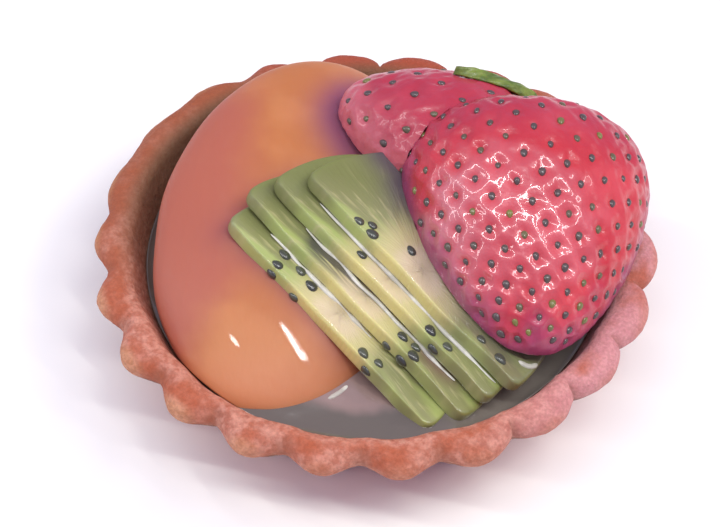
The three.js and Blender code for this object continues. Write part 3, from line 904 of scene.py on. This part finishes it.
to_berries = standing_in("strawberry_front", "strawberry_back")
kiwi = []
for k, slice_size in enumerate(KIWI_SLICES):
    outline = kiwi_outline(slice_size["radius"], count=260)
    wobble = 1 + 0.006 * ripple(np.column_stack([outline, 0 * outline[:, 0]]), 0.012, 20 + k)[:, None]
    outline = outline * wobble
    bend = np.linspace(0, math.pi / 2, 5)
    middle_depth = -KIWI_THICKNESS / 2
    layers = [(share, 0.0, 0.0) for share in np.linspace(0, 1, 34)]
    layers += [(1, KIWI_BEVEL * math.sin(b), KIWI_BEVEL * (math.cos(b) - 1)) for b in bend[1:]]
    lower = [(share, step, -KIWI_THICKNESS - depth) for share, step, depth in reversed(layers)]
    rows = []
    for share, step, depth in layers + [(1, KIWI_BEVEL, middle_depth)] + lower:
        inset = outline - KIWI_BEVEL * outline / np.hypot(*outline.T)[:, None]
        ring = inset * share + (outline - inset) * (step / KIWI_BEVEL)
        rows.append(np.column_stack([ring, np.full(len(ring), depth)]))
    points = np.vstack(rows)
    swell = KIWI_SWELL * ripple(points * (1, 1, 0), 0.014, 30 + k)
    points[:, 2] += swell
    points[:, 1] += KIWI_HEART
    points = moved(points, kiwi_frame(k))
    points[:, 2] = np.maximum(points[:, 2], FILLING_TOP - 0.0001)
    piece = solid(f"kiwi_{k + 1}", against_wall(points), lattice(len(rows), len(outline)), kiwi_flesh)
    carved(piece, "strawberry_front", "strawberry_back")
    marked(piece, k)
    belongs(piece, "kiwi", f"kiwi_slice_{k + 1}")
    kiwi.append(piece)

# Painted highlight: near-white streaks of glaze along the foot of each upper slice's straight edge stand for
# the white glints there.
for k, (first, last) in enumerate(GLAZE_SPANS, start=1):
    half_edge = KIWI_SLICES[k]["radius"] - 2 * KIWI_BEVEL
    share = np.linspace(0, 1, 160)
    wander = ripple(np.column_stack([share, 0 * share, np.full(len(share), k)]), 0.3, 60 + k)
    along = half_edge * (2 * (first + (last - first) * share) - 1)
    below = np.full(len(share), -KIWI_THICKNESS - GAP / 2)
    path = np.column_stack([along, 0.00012 * wander - 0.00005, below])
    facing = np.array(kiwi_frame(k))[:3, 2]
    path = moved(path, kiwi_frame(k))
    drop = bead(f"kiwi_{k + 1}_glaze", path, facing, GLAZE_RADIUS, GLAZE_UNEVENNESS, 50 + k)
    belongs(drop, "kiwi", f"kiwi_slice_{k + 1}")

# Painted highlight: a near-white drop of glaze where the front strawberry's tip meets the last slice stands
# for a glint.
seated = [kiwi[-1].closest_point_on_mesh(Vector(spot))[1] for spot in TIP_DROP]
path = bezier(seated, DROP_STEPS)
drop = bead("kiwi_tip_glaze", path, facing, TIP_DROP_RADIUS, DROP_UNEVENNESS, 49)
belongs(drop, "kiwi", "kiwi_slice_4")


def set_on(piece, seats, pointing, size, finish, random_seed):
    """Seeds of one kind on a piece, at the seats where it has skin, with the ways they point."""
    name = piece.name + "_seeds"
    tree = surface_tree(piece.data)
    found = [tree.find_nearest(Vector(seat)) for seat in seats]
    kept = [i for i, (_, _, _, gap) in enumerate(found) if gap < SEED_REACH]
    points = bpy.data.meshes.new(name)
    points.from_pydata([found[i][0] for i in kept], [], [])
    facing = np.array([found[i][1] for i in kept], np.float32)
    for words, values in (("outward", facing), ("along", np.array(pointing, np.float32)[kept])):
        points.attributes.new(words, "FLOAT_VECTOR", "POINT").data.foreach_set("vector", values.ravel())
    seeds = put(name, points)

    recipe = Recipe("seeds_on_" + name)
    recipe.material = finish.material
    length, width, depth = map(recipe.value, ("Length", "Width", "Depth"), size)
    unevenness = recipe.value("Unevenness", 0.16)
    draw = recipe.value("Seed", random_seed, "Int")
    start = recipe.entry
    ball = start.node("GeometryNodeMeshUVSphere", sockets={"Segments": 14, "Rings": 9, "Radius": 0.5})
    place = start.node("GeometryNodeInputPosition")
    parts = split(place)
    slim = (1.0 - 0.55 * parts) * width
    drop = place.node("ShaderNodeCombineXYZ", sockets={
        0: parts * length, 1: parts.also("Y") * slim, 2: parts.also("Z") * depth})
    grain = ball.node("GeometryNodeSetPosition", sockets={"Geometry": ball, "Position": drop})
    grain = grain.node("GeometryNodeSetShadeSmooth", sockets={0: grain})

    def named(words):
        return start.node("GeometryNodeInputNamedAttribute", {"data_type": "FLOAT_VECTOR"}, {"Name": words})

    upright = start.node("FunctionNodeAlignRotationToVector", {"axis": "Z"}, {"Vector": named("outward")})
    turned = start.node("FunctionNodeAlignRotationToVector", {"axis": "X", "pivot_axis": "Z"}, {
        "Rotation": upright, "Vector": named("along")})
    scale = start.node("FunctionNodeRandomValue", {"data_type": "FLOAT"}, {
        2: 1.0 - unevenness, 3: 1.0 + unevenness, "Seed": draw}, 1)
    laid = start.node("GeometryNodeInstanceOnPoints", sockets={
        "Points": start, "Instance": grain, "Rotation": turned, "Scale": scale})
    shade = start.node("FunctionNodeRandomValue", {"data_type": "FLOAT"}, {"Seed": draw + 1.0}, 1)
    laid = start.node("GeometryNodeStoreNamedAttribute", {"data_type": "FLOAT", "domain": "INSTANCE"}, {
        "Geometry": laid, "Name": "shade", "Value": shade})
    recipe.apply(seeds, laid)
    return seeds


kiwi_seed = Finish("kiwi_seeds", Roughness=0.3, Coat_Weight=0.8, Coat_Roughness=0.1)
shade = kiwi_seed.mark("shade")
kiwi_seed.feed(Base_Color=blend(shade, tone(50, 54, 44), tone(78, 84, 62)))
for k, piece in enumerate(kiwi):
    spots = [(x, y, 0) for x, y in KIWI_FACE_SEEDS[k]] + [(x, 0, -down) for x, down in KIWI_SIDE_SEEDS[k]]
    spots = np.array(spots) / MM_PER_METRE
    seats = moved(spots, kiwi_frame(k))
    pointing = ((spots - (0, KIWI_HEART, 0)) * (1, 1, 0)) @ np.array(kiwi_frame(k))[:3, :3].T
    seeds = set_on(piece, seats, pointing, KIWI_SEED_SIZE, kiwi_seed, 40 + k)
    belongs(seeds, "kiwi", f"kiwi_slice_{k + 1}")


# Strawberries. Two ripe strawberries cut in half and laid cut face down, glazed. Each seed sits
# in a dimple of the skin, and the skin between the dimples stands up like a net, which is what
# catches the light. The front one rests on the kiwi and the rim, the back one on the peach.
FRONT_BERRY = {
    "centre": Vector((0.0236, -0.0046, 0.0208)),
    "heading": math.radians(-89),
    "slope": (-0.18, 0.13),
    "width": 0.0398,
    "length": 0.0414,
    "height": 0.0154,
    "taper": 0.41,
    "shoulder": 0.5,
    "tip": 0.82,
    "seeds": 140,
    "dusk": 1.0,
    "bloom": 0.0,
}
BACK_BERRY = {
    "centre": Vector((0.0086, 0.0157, 0.0225)),
    "heading": math.radians(153),
    "slope": (-0.1, 0),
    "width": 0.026,
    "length": 0.031,
    "height": 0.012,
    "taper": 0.35,
    "shoulder": 0.5,
    "tip": 0.8,
    "seeds": 40,
    "dusk": 0.0,
    "bloom": 1.0,
}
DIMPLE_DEPTH = 0.0006
DIMPLE_REACH = 0.0011
SEEDLESS_EDGE = 0.14
ACHENE_SIZE = (0.0014, 0.00105, 0.0008)
GLAZED_SPOT = (0.0200, -0.0100, 0.0325)
GLAZED_REACH = (0.0125, 0.0105)


def berry_frame(berry):
    """A berry's own frame: X toward its tip, Y to its side, Z out of its round side."""
    normal = Vector((-berry["slope"][0], -berry["slope"][1], 1)).normalized()
    heading = Vector((math.cos(berry["heading"]), math.sin(berry["heading"]), 0))
    tip = (heading - normal * heading.dot(normal)).normalized()
    turned = Matrix((tip, normal.cross(tip), normal)).transposed().to_4x4()
    return Matrix.Translation(berry["centre"]) @ turned


def berry_girth(berry, station):
    """Girth at a station from the calyx (-1) to the tip (1)."""
    power = berry["shoulder"] + (berry["tip"] - berry["shoulder"]) * (station + 1) / 2
    return np.sqrt(np.maximum(0, 1 - station ** 2)) ** power * (1 - berry["taper"] * station)


def berry_point(berry, station, turn, margin=0.0):
    """A point of the round side in the berry's own frame, a margin above the skin."""
    girth = berry_girth(berry, station) / berry_girth(berry, np.linspace(-1, 1, 101)).max()
    half = berry["width"] / 2 * girth + margin
    rise = berry["height"] * girth + margin
    reach = (berry["length"] / 2 + margin) * station
    return np.stack([reach + 0 * turn, half * np.cos(turn), rise * np.sin(turn)], -1)


def seed_places(berry):
    """Stations and turns of the seeds, spread evenly along a golden-angle spiral."""
    index = np.arange(2 * berry["seeds"])
    station = 0.97 - 1.9 * (index + 0.5) / (2 * berry["seeds"])
    turn = (index * math.pi * (3 - math.sqrt(5))) % (2 * math.pi)
    shown = (turn > SEEDLESS_EDGE) & (turn < math.pi - SEEDLESS_EDGE)
    return station[shown], turn[shown]


berry_skin = Finish(
    "strawberry_skin",
    Roughness=0.34,
    Coat_Roughness=0.05,
    Subsurface_Weight=0.2,
    Subsurface_Radius=(1.0, 0.25, 0.2),
    Subsurface_Scale=0.002,
)
at = berry_skin.place()
dimple = berry_skin.mark("dimple")
low = berry_skin.mark("low")
patches = cloudy(at, 0.008, 3)
red = blend(between(patches, 0.38, 0.66), tone(190, 48, 56), tone(206, 72, 78))
sunk_red = blend(dimple * 0.5, red, tone(216, 58, 58))
far = between(split(at).also("Y"), -0.001, 0.009)
magenta = blend(far * 0.55, sunk_red, tone(162, 50, 74))
glazed = berry_skin.mark("glazed")
berry_left = between(split(at), 0.018, 0.01)
# Painted highlight: in the glazed patch the net between the dimples is coloured near white, more toward the
# left, as glints.
netted = blend(glazed * (1.0 - dimple) * (0.1 + 0.22 * berry_left), magenta, tone(240, 186, 188))
# Painted light: the back strawberry's lower side, which faces away from the key light, is coloured paler.
bloom = berry_skin.mark("bloom")
bloomed = blend(bloom * 0.5, netted, tone(222, 134, 138))
# Painted shade: near the cut face the front strawberry's side is coloured purple, as shade.
berry_skin.feed(Base_Color=blend(low * 0.8, bloomed, tone(142, 62, 102)), Coat_Weight=0.2 + 0.8 * glazed)
berry_skin.relief(cloudy(at, 0.0007, 3), 0.00008)


def bowls(points, places):
    """How deep each point lies in its seed's dimple, 0 on the net between them, and how near it
    lies to the seed, from 1 to 0."""
    near = KDTree(len(places))
    for index, place in enumerate(places):
        near.insert(place, index)
    near.balance()
    found = [near.find_n(point, 2) for point in points]
    first = np.array([pair[0][2] for pair in found])
    second = np.array([pair[1][2] for pair in found])
    depth = np.random.default_rng(17).uniform(0.55, 1.2, len(places))[[pair[0][1] for pair in found]]
    warped = first * (1 + 0.16 * ripple(points, 0.0035, 18))
    pit = np.exp(-((warped / DIMPLE_REACH) ** 2))
    bowl = (1 - np.clip(warped / second, 0, 1)) ** 1.5
    return depth * (0.6 * pit + 0.4 * bowl) + 0.08 * ripple(points, 0.0021, 19), pit


def berry_half(name, berry, rows, columns):
    """Half a berry with its dimples, closed by its flat cut face."""
    bow = np.linspace(0, math.pi, rows)
    station = -np.cos(bow)[:, None]
    turn = np.linspace(0, math.pi, columns)[None, :]
    dome = berry_point(berry, station, turn)
    ahead = berry_point(berry, np.minimum(station + 0.001, 0.9999), turn) - dome
    aside = berry_point(berry, station, turn + 0.001) - dome
    normal = np.cross(aside, ahead)
    normal /= np.maximum(np.linalg.norm(normal, axis=-1, keepdims=True), 1e-12)
    places = berry_point(berry, *seed_places(berry))
    sunk, _ = bowls(dome.reshape(-1, 3), places)
    dome = dome - normal * DIMPLE_DEPTH * sunk.reshape(rows, columns, 1)
    flat = np.linspace(1, -1, 24)[1:-1]
    face = np.stack([
        np.broadcast_to(dome[:, :1, 0], (rows, len(flat))),
        dome[:, :1, 1] * flat[None, ::-1],
        np.zeros((rows, len(flat))),
    ], -1)
    ring = np.concatenate([dome, face], axis=1)
    points = moved(ring.reshape(-1, 3), berry_frame(berry))
    return solid(name, points, lattice(rows, ring.shape[1]), berry_skin)


def dimpled(piece, berry):
    """Each corner of the mesh learns how deep in a dimple it lies, for the brighter colour there,
    how low on the berry's side, for a painted shade near the front berry's cut face and a painted
    light on the back one's lower side, and how thickly it is coated, which also sets the painted white net."""
    points = corners_of(piece.data)
    local = moved(points, berry_frame(berry).inverted())
    _, near = bowls(local, berry_point(berry, *seed_places(berry)))
    uneven_height = local[:, 2] + 0.0012 * ripple(local, 0.009, 21)
    low = berry["dusk"] * smooth(uneven_height, 0.42 * berry["height"], 0.02 * berry["height"])
    bloom = berry["bloom"] * smooth(uneven_height, 0.75 * berry["height"], 0.2 * berry["height"])
    from_glaze = (points - GLAZED_SPOT)[:, :2] / GLAZED_REACH
    glazed = smooth(np.hypot(*from_glaze.T) + 0.12 * ripple(local, 0.006, 22), 1.25, 0.85)
    learns(piece, dimple=near, low=low, bloom=bloom, glazed=glazed)


front = berry_half("front_strawberry", FRONT_BERRY, rows=320, columns=280)
back = berry_half("back_strawberry", BACK_BERRY, rows=220, columns=220)
carved(back, "strawberry_front")
berries = [(front, FRONT_BERRY, "strawberry_front"), (back, BACK_BERRY, "strawberry_back")]
for piece, berry, node in berries:
    dimpled(piece, berry)
    belongs(piece, "strawberry", node)


achene = Finish("strawberry_seeds", Roughness=0.35, Coat_Weight=0.6, Coat_Roughness=0.1)
shade = achene.mark("shade")
achene.feed(Base_Color=blend(shade ** 6, tone(78, 68, 62), tone(122, 122, 52)))
for random_seed, (piece, berry, node) in enumerate(berries, start=7):
    station, turn = seed_places(berry)
    seats = moved(berry_point(berry, station, turn), berry_frame(berry))
    ahead = moved(berry_point(berry, station + 0.02, turn), berry_frame(berry))
    seeds = set_on(piece, seats, ahead - seats, ACHENE_SIZE, achene, random_seed)
    belongs(seeds, "strawberry", node)


# Sepal. One green leaf of the calyx, left on the back strawberry and laid along its far shoulder:
# thin, pointed, a little wavy, with a midrib and side veins.
SEPAL_STATIONS = (-0.93, -0.04)
SEPAL_TURNS = (math.radians(142), math.radians(114))
SEPAL_HALF_WIDTH = math.radians(10)
SEPAL_LIFT = 0.0004
SEPAL_THICKNESS = 0.0006
SEPAL_WAVE = 0.00025

leaf_green = Finish(
    "sepal_green",
    Roughness=0.5,
    Coat_Weight=0.3,
    Coat_Roughness=0.2,
    Subsurface_Weight=0.15,
    Subsurface_Scale=0.001,
)
at = leaf_green.place()
mottled = between(cloudy(at, 0.002, 3), 0.35, 0.65)
leaf_green.feed(Base_Color=blend(mottled, tone(84, 106, 34), tone(124, 144, 54)))
leaf_green.relief(cloudy(at, 0.0006, 3), 0.00015)

share = np.linspace(0, 1, 90)[:, None]
lane = np.linspace(-1, 1, 21)[None, :]
half_width = SEPAL_HALF_WIDTH * np.sin(math.pi * (0.14 + 0.84 * share))
turn = SEPAL_TURNS[0] + (SEPAL_TURNS[1] - SEPAL_TURNS[0]) * share + half_width * lane
station = SEPAL_STATIONS[0] + (SEPAL_STATIONS[1] - SEPAL_STATIONS[0]) * share + 0 * lane
waves = SEPAL_WAVE * (1 + np.sin(9 * share + 2 * lane))
ribs = 0.00012 * np.exp(-((lane / 0.12) ** 2)) + 0.00006 * np.sin(40 * share - 9 * np.abs(lane))
arch = 1 - 0.9 * lane ** 2
under = (SEPAL_LIFT + waves) * arch
over = under + SEPAL_THICKNESS * (1 - 0.6 * lane ** 2) + ribs
lower_face = berry_point(BACK_BERRY, station, turn, under)
upper_face = berry_point(BACK_BERRY, station, turn, over)
ring = np.concatenate([lower_face, upper_face[:, ::-1]], axis=1)
points = moved(ring.reshape(-1, 3), berry_frame(BACK_BERRY))
columns = ring.shape[1]
ends = [tuple(range(columns)), tuple(range((len(share) - 1) * columns, len(share) * columns))]
sepal = solid("green_sepal", points, lattice(len(share), columns) + ends, leaf_green)
belongs(sepal, "leaf", "strawberry_sepal")
